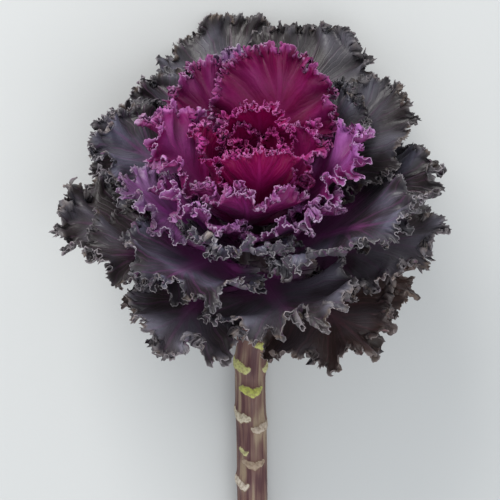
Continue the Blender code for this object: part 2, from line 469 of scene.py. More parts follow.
@dataclass(frozen=True)
class Crowding:
    """How far a leaf's blade may move before it meets another leaf."""

    plans: tuple[LeafPlan, ...]
    bowls: BowlFamily
    free: float = 7.0
    skin: float = 0.45
    least: float = 0.12
    fade: tuple[float, float] = (-9.0, 1.5)

    def room(self, plan: LeafPlan, across: Array, along: Array) -> tuple[Array, Array]:
        """Measure the room on both sides of a leaf.

        Args:
            plan: The leaf.
            across: Distances of the asked places to the right of its midrib.
            along: Their distances from its foot.

        Returns:
            The room towards the heart and the room away from it.
        """
        out, up = self.bowls.at(plan.bowl, along)
        turn = plan.turn(across, along, out)
        inward = np.full(across.shape, self.free)
        outward = np.full(across.shape, self.free)
        for other in self.plans:
            if other.name == plan.name:
                continue
            lean = math.radians(
                float(self.bowls.read(self.bowls.middle, (plan.bowl + other.bowl) / 2))
            )
            starts = self.bowls.read(self.bowls.starts, [plan.bowl, other.bowl])
            there = along + (starts[0] - starts[1]) * math.cos(lean)
            other_out, other_up = self.bowls.at(other.bowl, there)
            away = turn - other.turn(np.zeros_like(there), there, other_out)
            away = (away + math.pi) % (2 * math.pi) - math.pi
            inside = other.half_width(there / other.length) - np.abs(away) * other_out
            inside = inside - np.maximum(there - other.length, 0.0)
            cover = ease(*self.fade, inside)
            gap = np.hypot(other_out - out, other_up - up)
            limit = np.maximum(0.5 * gap - self.skin, self.least) + (1 - cover) * self.free
            if other.bowl < plan.bowl:
                inward = np.minimum(inward, limit)
            else:
                outward = np.minimum(outward, limit)
        return inward, outward


@dataclass(frozen=True)
class Plant:
    """What all the pieces share."""

    bowls: BowlFamily
    posture: Posture
    crowding: Crowding


class LeafSheet:
    """One leaf's mesh: a fan of columns from the midrib to the edge, finer towards the edge."""

    # shares of the way from the midrib to the edge, and the columns to a face on each row
    ROWS: ClassVar[Knots] = (
        0, .02, .045, .09, .16, .25, .36, .47, .57, .66, .74, .81, .865, .91, .945, .97, .987, 1
    )
    STEPS: ClassVar[tuple[int, ...]] = (
        16, 16, 16, 16, 8, 8, 8, 4, 4, 4, 2, 2, 2, 1, 1, 1, 1, 1
    )
    TRACED = 4001  # places at which the outline is traced
    LAST_ROOT = 0.66  # share of the midrib from which the last column starts
    FOOT = (0.12, 0.30)  # shares of the length between which columns get dense
    FOOT_SPACING = 0.35  # how densely they stand at the foot, against 1 further on
    STIFF_FOOT = (0.16, 0.42)  # shares of the length between which the edge gets loose
    ROOM_STEP, ROOM_NARROWINGS, ROOM_SMOOTHINGS = 8, 3, 8
    LEAST_SLOPE = 0.25  # of a face, where its height above the floor limits its folds
    RIM_HALF, BLADE_MORE = 0.13, 0.09  # half the thickness at the rim, and what the blade adds
    THICKEST_STALK, STALK_SHARE = 1.35, 0.019  # the midrib at the foot, by the leaf's length
    FLOOR_SOFTNESS = 0.5

    def __init__(
        self, plan: LeafPlan, frill: Frill, columns: int, plant: Plant, seed: int
    ) -> None:
        """Lay out the leaf flat and work its edge.

        Args:
            plan: Where the leaf grows and how large it is.
            frill: How its edge is worked.
            columns: Columns on each half, a multiple of 16.
            plant: The plant that it belongs to.
            seed: Number from which the leaf's own irregularity is drawn.
        """
        self.plan, self.frill, self.columns, self.plant = plan, frill, columns, plant
        self.draw = np.random.default_rng(seed)
        self.rows = np.array(self.ROWS)
        self.lay_out()
        self.work_edge()

    def lay_out(self) -> None:
        """Draw the outline, and join each of its points to the midrib."""
        plan = self.plan
        traced = np.linspace(0.0, 1.0, self.TRACED)
        step = np.hypot(np.diff(plan.half_width(traced)), np.diff(traced * plan.length))
        middles = (traced[1:] + traced[:-1]) / 2
        weight = self.FOOT_SPACING + (1 - self.FOOT_SPACING) * ease(*self.FOOT, middles)
        true_run = np.concatenate([[0.0], np.cumsum(step)])
        run = np.concatenate([[0.0], np.cumsum(step * weight)])
        share = np.interp(np.linspace(0.0, run[-1], self.columns + 1), run, traced)
        length_along = np.interp(share, traced, true_run)
        wide, high = plan.half_width(share), share * plan.length
        wide[-1] = 0.0
        root = self.LAST_ROOT * plan.length * share**1.6
        mirror = slice(-2, None, -1)
        self.share = np.concatenate([share, share[mirror]])
        self.run = np.concatenate([length_along, 2 * length_along[-1] - length_along[mirror]])
        self.half_perimeter = length_along[-1]
        margin = np.stack(
            [np.concatenate([-wide, wide[mirror]]), np.concatenate([high, high[mirror]])], axis=-1
        )
        root = np.concatenate([root, root[mirror]])
        ahead = unit(np.gradient(margin, axis=0))
        spoke = margin - np.stack([np.zeros_like(root), root], axis=-1)
        self.reach = np.abs(spoke[:, 0] * ahead[:, 1] - spoke[:, 1] * ahead[:, 0])
        self.edge = self.reach[:, None] * (1 - self.rows[None, :])
        self.across = margin[:, :1] * self.rows[None, :]
        self.along = root[:, None] + (margin[:, 1:] - root[:, None]) * self.rows

    def place(self, across: Array, along: Array) -> Array:
        """Lay flat places on the leaf's bowl, as points of the lying plant."""
        out, up = self.plant.bowls.at(self.plan.bowl, along)
        return self.plant.posture.head_point(out, up, self.plan.turn(across, along, out))

    def frames(self, points: Array) -> tuple[Array, Array]:
        """Find the directions of the surface at each grid point.

        Args:
            points: The grid's points.

        Returns:
            Directions along the edge and directions out of the upper side.
        """
        ahead = np.gradient(points, axis=0)
        outward = np.gradient(points, self.rows, axis=1)
        normal = unit(np.cross(ahead, outward))
        half = self.columns
        both = unit(normal[: half + 1, 0] + normal[half:, 0][::-1])
        both[-1] = normal[half, 1]
        normal[: half + 1, 0] = both
        normal[half:, 0] = both[::-1]
        return unit(ahead), normal

    def wave(
        self, period: float, looseness: float, bend: float, run: Array | None = None
    ) -> tuple[Array, Array]:
        """Give an irregular train of waves along the edge that meanders inwards.

        Args:
            period: Length of one wave.
            looseness: How far waves wander from even spacing, in waves.
            bend: How far a wave's line meanders on its way inwards, in waves.
            run: Distance of each column along the edge, the flat one if left out.

        Returns:
            The waves' angle at each grid point, and its change to a millimetre.
        """
        wander, lean = Wander(self.draw), Wander(self.draw)
        run = (self.run if run is None else run)[:, None]
        count = run / period + self.draw.uniform(0.0, 1.0)
        count = count + looseness * wander.at(run / (1.7 * period))
        count = count + bend * lean.at(run / (2.3 * period) + self.edge / (1.3 * period))
        angle = 2 * math.pi * count
        pace = np.gradient(angle, axis=0) / np.gradient(self.run)[:, None]
        return angle, np.maximum(pace, 0.4 * 2 * math.pi / period)

    def swell(self, period: float, spread: float) -> Array:
        """Give each column a strength that departs from 1 by the spread, knot by knot."""
        return 1 + spread * Wander(self.draw).at(self.run / period)

    def work_edge(self) -> None:
        """Sway the blade, fold and curl its edge, and cut its lobes and teeth."""
        frill = self.frill
        sway, _ = self.wave(frill.sway_period, 0.35, 0.2)
        fold = self.wave(frill.fold_period, 0.50, 0.65)
        curl = self.wave(frill.curl_period, 0.42, 0.45)
        self.loose = ease(*self.STIFF_FOOT, self.share)[:, None]
        push = self.lobes(fold[0], curl[0])
        points = self.place(self.across, self.along)
        ahead, normal = self.frames(points)
        inward, outward = self.room(points, normal)
        lift = self.sway_and_fold_lift(sway, fold[0])
        lift = np.where(
            lift > 0, inward * np.tanh(lift / inward), -outward * np.tanh(-lift / outward)
        )
        # crest: 1 on the folds' crests, 0 in their valleys; the material paints light on the
        # crests and shade in the valleys from it
        self.crest = 0.5 + 0.5 * np.tanh(1.3 * lift / (0.5 * frill.fold_height + 0.5))
        points = self.folded(points, ahead, normal, lift, fold)
        points = self.curled(points, np.minimum(inward, outward), curl)
        self.cut_teeth(points, push)

    def lobes(self, fold: Array, curl: Array) -> Array:
        """Find how far the outline's lobes and notches stand out.

        Args:
            fold: The folds' angle at each grid point.
            curl: The curls' angle at each grid point.

        Returns:
            The distance at each grid point, less than 0 in a notch.
        """
        frill = self.frill
        broad, _ = self.wave(2.7 * frill.fold_period, 0.45, 0.0)
        lobes = frill.lobe * self.swell(2.0 * frill.fold_period, 0.5) * (
            np.abs(np.sin(broad[:, -1])) ** 0.9 - 0.88
        )
        lobes = lobes + 0.35 * frill.lobe * (np.abs(np.sin(fold[:, -1])) ** 0.8 - 0.7)
        for share, period in ((1.1, 0.5), (0.7, 0.25)):
            ragged = self.swell(period * frill.fold_period, 1.0) - 1
            lobes = lobes + share * frill.tooth * ragged
        lobes = lobes + 1.5 * frill.tooth * (np.abs(np.sin(curl[:, -1] / 2)) ** 0.8 - 0.66)
        push = np.maximum(self.loose[:, 0] * lobes, -0.35 * self.reach)[:, None]
        push = push * np.exp(-((self.edge / (1.5 * frill.lobe + 0.5)) ** 2))
        return push * ease(0.1, 0.6, self.rows[None, :])

    def sway_and_fold_lift(self, sway: Array, fold: Array) -> Array:
        """Find how far the broad waves and the folds lift the blade out of its bowl.

        Args:
            sway: The broad waves' angle at each grid point.
            fold: The folds' angle at each grid point.

        Returns:
            The lift towards the heart at each grid point.
        """
        frill, loose = self.frill, self.loose
        broad = ease(0.1, 1.0, self.rows[None, :]) * np.exp(-self.edge / frill.sway_reach)
        lift = frill.sway_height * self.swell(frill.sway_period, 0.3)[:, None] * np.sin(sway)
        lift = lift * broad * loose
        height = frill.fold_height * self.swell(1.3 * frill.fold_period, 0.65)[:, None] * loose
        height = height * self.swell(3.1 * frill.fold_period, 0.35)[:, None]
        return lift + height * (np.sin(fold) + 0.15) * self.near_edge()

    def near_edge(self) -> Array:
        """Give the share of the folds' depth that reaches each grid point."""
        depth = np.exp(-((self.edge / self.frill.fold_depth) ** 2))
        return depth * ease(0.0, 0.5, self.rows[None, :])

    def folded(
        self, points: Array, ahead: Array, normal: Array, lift: Array, fold: tuple[Array, Array]
    ) -> Array:
        """Fold the edge, with its pleats pinched together at their crests.

        Args:
            points: The grid's points.
            ahead: Directions along the edge.
            normal: Directions out of the upper side.
            lift: How far each point is lifted.
            fold: The folds' angle and pace.

        Returns:
            The folded points.
        """
        frill, loose, near = self.frill, self.loose, self.near_edge()
        angle, pace = fold
        slide = -(0.30 + 0.4 * frill.roll) * np.sin(2 * angle) / pace * loose * near * self.rows**2
        out = np.cross(normal, ahead)
        roll = -frill.fold_height * frill.roll * (np.cos(2 * angle) + 0.4) * near**2 * loose
        points = points + normal * lift[..., None] + ahead * slide[..., None]
        return points + out * roll[..., None]

    def curled(self, points: Array, room: Array, curl: tuple[Array, Array]) -> Array:
        """Curl the edge of the folds.

        Args:
            points: The folded points.
            room: The room beside the blade.
            curl: The curls' angle and pace.

        Returns:
            The curled points.
        """
        frill = self.frill
        angle, pace = curl
        ahead, normal = self.frames(points)
        tight = np.exp(-((self.edge / frill.curl_depth) ** 1.1))
        tight = tight * ease(0.2, 0.7, self.rows[None, :]) * self.loose
        most = np.minimum(frill.curl_height, 0.35 * room + 0.15)
        lift = most * self.swell(frill.curl_period, 0.5)[:, None] * np.sin(angle) * tight
        slide = -(0.26 + 0.4 * frill.roll) * np.sin(2 * angle) / pace * tight * self.rows**2
        return points + normal * lift[..., None] + ahead * slide[..., None]

    def cut_teeth(self, points: Array, push: Array) -> None:
        """Cut teeth of even size along the worked edge, and push the lobes out.

        Args:
            points: The curled points.
            push: How far the lobes stand out.
        """
        frill = self.frill
        steps = np.linalg.norm(np.diff(points[:, -1], axis=0), axis=-1)
        worked_run = np.concatenate([[0.0], np.cumsum(steps)])
        _, normal = self.frames(points)
        tooth, _ = self.wave(frill.tooth_period * 2, 0.35, 0.0, worked_run)
        uneven = Wander(self.draw, 512).at(worked_run / 1.7)
        size = frill.tooth * (1 + 0.8 * uneven) * self.loose[:, 0]
        teeth = 1 - np.abs(np.sin(tooth[:, -1])) ** 0.7
        push = push + (size * (teeth - 0.35))[:, None] * np.exp(-((self.edge / 0.7) ** 2))
        lift = 0.35 * frill.tooth * np.sin(tooth) * np.exp(-self.edge / 0.9) * self.loose
        points = points + normal * lift[..., None]
        ahead, self.normal = self.frames(points)
        self.points = points + np.cross(self.normal, ahead) * push[..., None]

    def room(self, points: Array, normal: Array) -> tuple[Array, Array]:
        """Measure the room beside the blade on a coarse grid and spread it over the fine one.

        Args:
            points: The points of the unworked leaf.
            normal: Directions out of its upper side.

        Returns:
            The room towards the heart and the room away from it.
        """
        coarse = np.arange(0, 2 * self.columns + 1, self.ROOM_STEP)
        every = np.arange(2 * self.columns + 1)
        spread = []
        for side in self.plant.crowding.room(self.plan, self.across[coarse], self.along[coarse]):
            for _ in range(self.ROOM_NARROWINGS):
                padded = np.pad(side, ((1, 1), (0, 0)), mode="edge")
                side = np.minimum(side, (padded[:-2] + padded[2:]) / 2)
            for _ in range(self.ROOM_SMOOTHINGS):
                padded = np.pad(side, ((1, 1), (0, 0)), mode="edge")
                side = (padded[:-2] + 2 * side + padded[2:]) / 4
            spread.append(np.stack([np.interp(every, coarse, row) for row in side.T], axis=-1))
        inward, outward = spread
        up = normal[..., 2]
        drop = points[..., 2] / np.maximum(np.abs(up), self.LEAST_SLOPE)
        return (
            np.where(up < 0, np.minimum(inward, drop), inward),
            np.where(up > 0, np.minimum(outward, drop), outward),
        )

    def thickness(self) -> tuple[Array, Array]:
        """Give the leaf's thickness above and below its middle sheet.

        Returns:
            The distances to the upper and to the lower face.
        """
        plan = self.plan
        share = self.along / plan.length
        half = self.RIM_HALF + self.BLADE_MORE * ease(0.0, 6.0, self.edge)
        stalk = min(self.THICKEST_STALK, self.STALK_SHARE * plan.length)
        stalk = stalk * np.maximum(1 - 1.25 * share, 0.0) ** 0.8 + 0.06
        below = half + 1.2 * stalk * np.exp(-((self.across / (1.3 * stalk + 0.25)) ** 2))
        crease = 0.18 * stalk * np.exp(-((self.across / (0.8 * stalk)) ** 2))
        return half - np.minimum(crease, half * 0.7), below

    def faces(self) -> tuple[Array, Array]:
        """List the faces of the middle sheet.

        Returns:
            Quads and triangles, each corner as a column number and a row number.
        """
        quads, triangles = [], []
        for row, (coarse, fine) in enumerate(zip(self.STEPS[:-1], self.STEPS[1:])):
            left = np.arange(0, 2 * self.columns, coarse)
            right, between, high = left + coarse, left + fine, row + 1
            if coarse == fine:
                quads.append(table_of(left, row, right, row, right, high, left, high))
            else:
                triangles += [
                    table_of(left, row, right, row, between, high),
                    table_of(left, row, between, high, left, high),
                    table_of(right, row, right, high, between, high),
                ]
        return (
            np.concatenate(quads).reshape(-1, 4, 2),
            np.concatenate(triangles).reshape(-1, 3, 2),
        )

    def rim(self) -> Array:
        """List the quads that close the shell along the edge and the foot.

        Returns:
            Quads, each corner as a column number, a row number, and 1 on the lower face.
        """
        last, end = len(self.rows) - 1, 2 * self.columns
        left, low = np.arange(end), np.arange(last)
        right, high = left + 1, low + 1
        parts = (
            table_of(left, last, 0, right, last, 0, right, last, 1, left, last, 1),
            table_of(0, low, 0, 0, high, 0, 0, high, 1, 0, low, 1),
            table_of(end, high, 0, end, low, 0, end, low, 1, end, high, 1),
        )
        return np.concatenate(parts).reshape(-1, 4, 3)

    def shell(self) -> "Shell":
        """Close the sheet to a shell.

        Returns:
            The shell's points, faces and surface readings.
        """
        end = 2 * self.columns

        def key(corner: Array) -> Array:
            """Number a corner, with both halves sharing the midrib."""
            column, row = corner[..., 0], corner[..., 1]
            return row * (end + 1) + np.where(row == 0, np.minimum(column, end - column), column)

        def corners(quad: Array, triangle: Array, closing: Array, lower: int) -> Array:
            """String the corners of all faces, with the lower ones turned over."""
            parts = quad, quad[:, ::-1] + lower, closing, triangle, triangle[:, ::-1] + lower
            return np.concatenate([part.reshape(-1, *quad.shape[2:]) for part in parts])

        (quads, triangles), rim = self.faces(), self.rim()
        used, index = np.unique(
            np.concatenate([key(quads).ravel(), key(triangles).ravel()]), return_inverse=True
        )
        count, cut = len(used), quads.shape[0] * 4
        quad_index, triangle_index = index[:cut].reshape(-1, 4), index[cut:].reshape(-1, 3)
        rim_index = np.searchsorted(used, key(rim[..., :2])) + rim[..., 2] * count
        grid = used % (end + 1), used // (end + 1)

        above, below = (side[grid][:, None] for side in self.thickness())
        middle, normal = self.points[grid], self.normal[grid]
        points = np.concatenate([middle + normal * above, middle - normal * below])
        places = corners(quads, triangles, rim[..., :2], 0).astype(float)
        places = np.stack(
            [places[:, 0] / self.columns, self.rows[places[:, 1].astype(int)]], axis=-1
        )
        return Shell(
            self.plant.posture.above_floor(points, self.FLOOR_SOFTNESS),
            corners(quad_index, triangle_index, rim_index, count),
            (2 * len(quads) + len(rim), 2 * len(triangles)),
            places,
            self.readings(grid),
        )

    def readings(self, grid: tuple[Array, Array]) -> dict[str, Array]:
        """Read off what the leaf's material needs.

        Args:
            grid: The column and the row of each point of one face.

        Returns:
            The numbers of all points by their name, the upper face's points first.
        """
        read = {
            "edge": self.edge,
            "rib": np.abs(self.across),
            "along": self.along / self.plan.length,
            "span": np.broadcast_to(self.half_perimeter * self.rows, self.edge.shape),
            "crest": self.crest,
        }
        readings = {label: np.tile(values[grid], 2) for label, values in read.items()}
        readings["under"] = np.repeat([0.0, 1.0], len(grid[0]))
        return readings


@dataclass
class Shell:
    """A closed surface as arrays: quads first, then triangles."""

    points: Array
    corners: Array
    counts: tuple[int, int]
    places: Array
    readings: dict[str, Array]

    def joined(self, other: "Shell") -> "Shell":
        """Put two shells in one.

        Args:
            other: The shell to add.

        Returns:
            Both shells' surfaces.
        """
        cut, other_cut = self.counts[0] * 4, other.counts[0] * 4

        def strung(mine: Array, others: Array) -> Array:
            """Join two lists of corners, all quads' before all triangles'."""
            return np.concatenate([mine[:cut], others[:other_cut], mine[cut:], others[other_cut:]])

        return Shell(
            np.concatenate([self.points, other.points]),
            strung(self.corners, other.corners + len(self.points)),
            (self.counts[0] + other.counts[0], self.counts[1] + other.counts[1]),
            strung(self.places, other.places),
            {
                label: np.concatenate([values, other.readings[label]])
                for label, values in self.readings.items()
            },
        )

    def piece(self, name: str, surface: bpy.types.Material) -> bpy.types.Object:
        """Make the shell an object.

        Args:
            name: The object's name.
            surface: Its material.

        Returns:
            The object, in its place in the scene.
        """
        mesh = bpy.data.meshes.new(name)
        quads, triangles = self.counts
        sizes = np.concatenate([np.full(quads, 4), np.full(triangles, 3)])
        mesh.vertices.add(len(self.points))
        mesh.vertices.foreach_set("co", (self.points * MM).astype(np.float32).ravel())
        mesh.loops.add(len(self.corners))
        mesh.loops.foreach_set("vertex_index", self.corners.astype(np.int32))
        mesh.polygons.add(len(sizes))
        starts = np.concatenate([[0], np.cumsum(sizes)[:-1]])
        mesh.polygons.foreach_set("loop_start", starts.astype(np.int32))
        mesh.polygons.foreach_set("use_smooth", np.ones(len(sizes), bool))
        sheet_map = mesh.uv_layers.new(name="SheetMap")
        sheet_map.data.foreach_set("uv", self.places.astype(np.float32).ravel())
        store_readings(mesh, self.readings)
        mesh.update(calc_edges=True)
        mesh.validate()
        mesh.materials.append(surface)
        piece = bpy.data.objects.new(name, mesh)
        bpy.context.scene.collection.objects.link(piece)
        return piece


Value = Union[float, "Reading"]


def sums(operation: str, turned: bool = False) -> Callable[..., "Reading"]:
    """Make a method that adds one Math node to a reading's material.

    Args:
        operation: The node's operation.
        turned: Whether the reading is the last of the node's inputs, not the first.

    Returns:
        The method, which takes the other inputs and gives the result.
    """

    def method(self: "Reading", *others: Value) -> "Reading":
        """Add the node.

        Args:
            others: Its other inputs.

        Returns:
            Its result.
        """
        values = (*others, self) if turned else (self, *others)
        node = self.bench.node("ShaderNodeMath", {"operation": operation}, dict(enumerate(values)))
        return Reading(self.bench, node.outputs[0])

    return method


class Reading:
    """A number that varies over a surface, on which sums are written as on plain numbers."""

    __add__ = __radd__ = sums("ADD")
    __sub__ = sums("SUBTRACT")
    __rsub__ = sums("SUBTRACT", turned=True)
    __mul__ = __rmul__ = sums("MULTIPLY")
    __truediv__ = sums("DIVIDE")
    size = sums("ABSOLUTE")
    part = sums("FRACT")
    least = sums("MINIMUM")
    most = sums("MAXIMUM")

    def __init__(self, bench: "Bench", socket: bpy.types.NodeSocket) -> None:
        """Keep the material's bench and the output that gives the number."""
        self.bench, self.socket = bench, socket

    def rise(self, low: Value, high: Value) -> "Reading":
        """Rise smoothly from 0 to 1.

        Args:
            low: The value at which the result is 0.
            high: The value at which the result is 1.

        Returns:
            The rise.
        """
        node = self.bench.node(
            "ShaderNodeMapRange",
            {"interpolation_type": "SMOOTHSTEP"},
            {0: self, 1: low, 2: high, 3: 0.0, 4: 1.0},
        )
        return Reading(self.bench, node.outputs[0])


class Bench:
    """A new material's node tree, and the ways its nodes are added."""

    def __init__(self, name: str) -> None:
        """Start a material with an empty tree.

        Args:
            name: The material's name.
        """
        self.material = bpy.data.materials.new(name)
        self.material.use_nodes = True
        self.tree = self.material.node_tree
        self.tree.nodes.clear()

    def node(
        self,
        kind: str,
        settings: dict[str, Any] | None = None,
        inputs: dict[Any, Any] | None = None,
    ) -> bpy.types.Node:
        """Add a node.

        Args:
            kind: Its type.
            settings: What is set on the node itself, first.
            inputs: Values, readings or sockets for its inputs, by name or number.

        Returns:
            The node.
        """
        made = self.tree.nodes.new(kind)
        for name, value in (settings or {}).items():
            setattr(made, name, value)
        for key, value in (inputs or {}).items():
            socket = made.inputs[key]
            if isinstance(value, Reading):
                self.tree.links.new(value.socket, socket)
            elif isinstance(value, bpy.types.NodeSocket):
                self.tree.links.new(value, socket)
            elif isinstance(value, tuple) and len(value) == 3 and socket.type == "RGBA":
                socket.default_value = (*value, 1.0)
            else:
                socket.default_value = value
        return made

    def reading(self, name: str) -> Reading:
        """Read a number stored on the mesh under a name."""
        node = self.node("ShaderNodeAttribute", {"attribute_name": name})
        return Reading(self, node.outputs["Fac"])

    def sheet_map(self) -> tuple[Reading, Reading]:
        """Read the mesh's own map.

        Returns:
            The column and the row.
        """
        source = self.node("ShaderNodeUVMap", {"uv_map": "SheetMap"})
        parts = self.node("ShaderNodeSeparateXYZ", None, {0: source.outputs[0]})
        return Reading(self, parts.outputs[0]), Reading(self, parts.outputs[1])

    def object_place(self) -> bpy.types.NodeSocket:
        """Read the place in the object."""
        return self.node("ShaderNodeTexCoord").outputs["Object"]

    def vector(self, x: Value, y: Value, z: Value = 0.0) -> bpy.types.NodeSocket:
        """Join three numbers to a vector."""
        return self.node("ShaderNodeCombineXYZ", None, {0: x, 1: y, 2: z}).outputs[0]

    def noise(
        self, place: bpy.types.NodeSocket, scale: float, detail: float = 2.0, rough: float = 0.5
    ) -> Reading:
        """Add a noise about 0.5.

        Args:
            place: Where it is read.
            scale: Its waves to a unit.
            detail: Its finer octaves.
            rough: Their strength.

        Returns:
            The noise.
        """
        node = self.node(
            "ShaderNodeTexNoise",
            None,
            {"Vector": place, "Scale": scale, "Detail": detail, "Roughness": rough},
        )
        return Reading(self, node.outputs["Fac"])

    def mix(
        self, share: Value, first: Any, second: Any, blend: str = "MIX"
    ) -> bpy.types.NodeSocket:
        """Mix two colours.

        Args:
            share: Share of the second.
            first: A colour or a socket.
            second: A colour or a socket.
            blend: How they are mixed.

        Returns:
            The mixed colour.
        """
        node = self.node(
            "ShaderNodeMix",
            {"data_type": "RGBA", "blend_type": blend},
            {0: share, 6: first, 7: second},
        )
        return node.outputs[2]

    def shaded(self, skin: bpy.types.NodeSocket, shade: Value) -> bpy.types.NodeSocket:
        """Make a colour lighter or darker."""
        return self.mix(1.0, skin, self.vector(shade, shade, shade), "MULTIPLY")

    def bump(self, strength: float, distance: float, height: Reading) -> bpy.types.NodeSocket:
        """Raise a fine relief by some metres, and give the directions of its surface."""
        numbers = {"Strength": strength, "Distance": distance, "Height": height}
        return self.node("ShaderNodeBump", None, numbers).outputs[0]

    def finish(self, **inputs: Any) -> bpy.types.Material:
        """Add the surface shader and the output.

        Args:
            inputs: The shader's inputs, with _ for a space in their names.

        Returns:
            The finished material.
        """
        named = {name.replace("_", " "): value for name, value in inputs.items()}
        shader = self.node("ShaderNodeBsdfPrincipled", None, named)
        self.node("ShaderNodeOutputMaterial", None, {0: shader.outputs[0]})
        return self.material


@dataclass(frozen=True)
class LeafPaint:
    """The colours of one leaf from its foot to its rim, and how its skin takes light."""

    deep: Colour
    face: Colour
    vein: Colour
    frill: Colour
    rim: Colour
    # bloom colour: partly the leaf's waxy bloom, partly a painted sheen
    bloom_and_sheen: Colour
    back: Colour
    bloom_and_sheen_share: float
    rim_share: float
    rim_width: float
    frill_width: float
    gloss: float
    shine: float
    tawny: Colour = (0.17, 0.125, 0.095)
    side_veins: float = 9.0
    fine_veins: float = 36.0

    @property
    def tawny_share(self) -> float:
        """How much of the frill is tawny: none on the magenta leaves, which have narrow frills."""
        return 0.75 * min(max((self.frill_width - 3.0) / 0.2, 0.0), 1.0)

    @classmethod
    def at(cls, bowl: float) -> "LeafPaint":
        """Give the paint of the leaf on a bowl, between the nearest of the known ones."""
        return cls(*between(PAINTS, bowl))

    def surface(self, name: str, seed: float, light: float = 1.0) -> bpy.types.Material:
        """Make the leaf's material.

        Args:
            name: The material's name.
            seed: A number that shifts its patterns.
            light: How much lighter than its paint the leaf is: partly its own tone, partly painted
                light on a leaf in shade and painted shade on one that catches the lamp.

        Returns:
            The material.
        """
        bench = Bench(name)
        edge, rib, along, span, under, crest = (
            bench.reading(key) for key in ("edge", "rib", "along", "span", "under", "crest")
        )
        column, row = bench.sheet_map()
        place = bench.object_place()
        cloud = bench.noise(place, 38.0, 2.0)
        patch = bench.noise(place, 130.0, 2.0)
        speck = bench.noise(place, 420.0, 3.0, 0.6)
        grain = bench.noise(place, 1100.0, 2.0, 0.6)
        streak = bench.noise(bench.vector(column * 62.0, row * 3.2, seed), 1.0, 3.0, 0.6)
        drift = bench.noise(bench.vector(column * 7.0, row * 4.0, seed + 5.0), 1.0, 1.0)

        def from_vein(count: float, waver: float) -> Reading:
            """Measure the distance to the nearest of some veins that fan out from the midrib."""
            lines = (column + (drift - 0.5) * waver) * count
            return ((lines + 0.5).part() - 0.5).size() * span / count

        # veins: side veins, thin veins between them, and the midrib
        away = from_vein(self.side_veins, 0.035)
        width = 0.25 + (1.0 - row) * 0.75
        side_vein = 1.0 - (away / width).rise(0.35, 1.0)
        away = from_vein(self.fine_veins, 0.06)
        fine_vein = (1.0 - away.rise(0.05, 0.32)) * row.rise(0.15, 0.45) * 0.7
        midrib = 1.0 - (rib / (0.5 + (1.0 - along) * 1.6)).rise(0.5, 1.2)
        midrib = midrib * (1.0 - along.rise(0.80, 0.97))
        veins = midrib.most(side_vein * 0.6).most(fine_vein * 0.5)

        # blade: the foot's colour flares up the midrib, then bloom with a painted sheen and veins
        # lie on the face
        from_foot = (along * 1.15 + (cloud - 0.5) * 0.5).rise(0.20, 0.68)
        flame = 1.0 - (rib / (2.0 + (1.0 - along) * 6.0) + (patch - 0.5) * 0.6).rise(0.2, 1.0)
        flame = flame * (1.0 - along.rise(0.40, 0.85))
        skin = bench.mix(from_foot.least(1.0 - flame * 0.9), self.deep, self.face)
        # the bloom colour is partly the leaf's waxy bloom and partly a painted sheen, strongest on
        # the fold crests as a painted highlight
        bloom_and_sheen = (cloud + (patch - 0.5) * 0.2).rise(0.40, 0.64) * from_foot * self.bloom_and_sheen_share
        bloom_and_sheen = (bloom_and_sheen * (crest * 1.3 + 0.35)).least(1.0)
        skin = bench.mix(bloom_and_sheen, skin, self.bloom_and_sheen)
        skin = bench.mix(veins * (0.62 - along * 0.35), skin, self.vein)
        # frill, back of the leaf, fine shading and pale rim, the frill and the rim partly painted
        # highlights
        # the frill band is partly the edge's own paler colour, partly a painted highlight where
        # the ruffles catch the light
        hem = 1.0 - (edge + (patch - 0.5) * 1.6 * self.frill_width).rise(0.0, self.frill_width)
        tawny = bench.noise(place, 160.0, 1.0).rise(0.52, 0.68) * self.tawny_share
        band = bench.mix(tawny, self.frill, self.tawny)
        skin = bench.mix(hem * 0.85, skin, band)
        dull = bench.mix(0.65, skin, self.back)
        dull = bench.mix(veins * 0.6, dull, self.vein)
        skin = bench.mix(under, skin, dull)
        # painted light and shade: the fold crests are painted lighter and their valleys darker;
        # speck and grain are the skin's own mottling, and light is the leaf's lightness, partly
        # painted light and shade
        shade = (0.44 + streak * 0.05 + speck * 0.36 + grain * 0.32 + crest * 0.32) * light
        skin = bench.shaded(skin, shade)
        # the pale rim is partly the leaf's pale margin, partly a painted highlight where the
        # crimped edge catches the light
        jagged = edge + (speck - 0.5) * 0.6 + (cloud - 0.5) * 0.7
        pale = (1.0 - jagged.rise(0.0, self.rim_width)) * (0.2 + 0.9 * patch.rise(0.42, 0.60))
        skin = bench.mix(pale * self.rim_share, skin, self.rim)

        relief = streak * 0.04 + speck * 0.42 + grain * 0.12 + veins * (under * 1.4 - 0.5)
        bump = bench.bump(0.55, 0.0006, relief)
        rough = self.gloss + (speck - 0.5) * 0.25 + (cloud - 0.5) * 0.15
        return bench.finish(
            Base_Color=skin,
            Roughness=rough,
            Normal=bump,
            IOR=1.42,
            Specular_IOR_Level=self.shine,
            Sheen_Weight=0.1 * self.shine,
            Sheen_Roughness=0.4,
            Sheen_Tint=(0.72, 0.75, 1.0),
        )


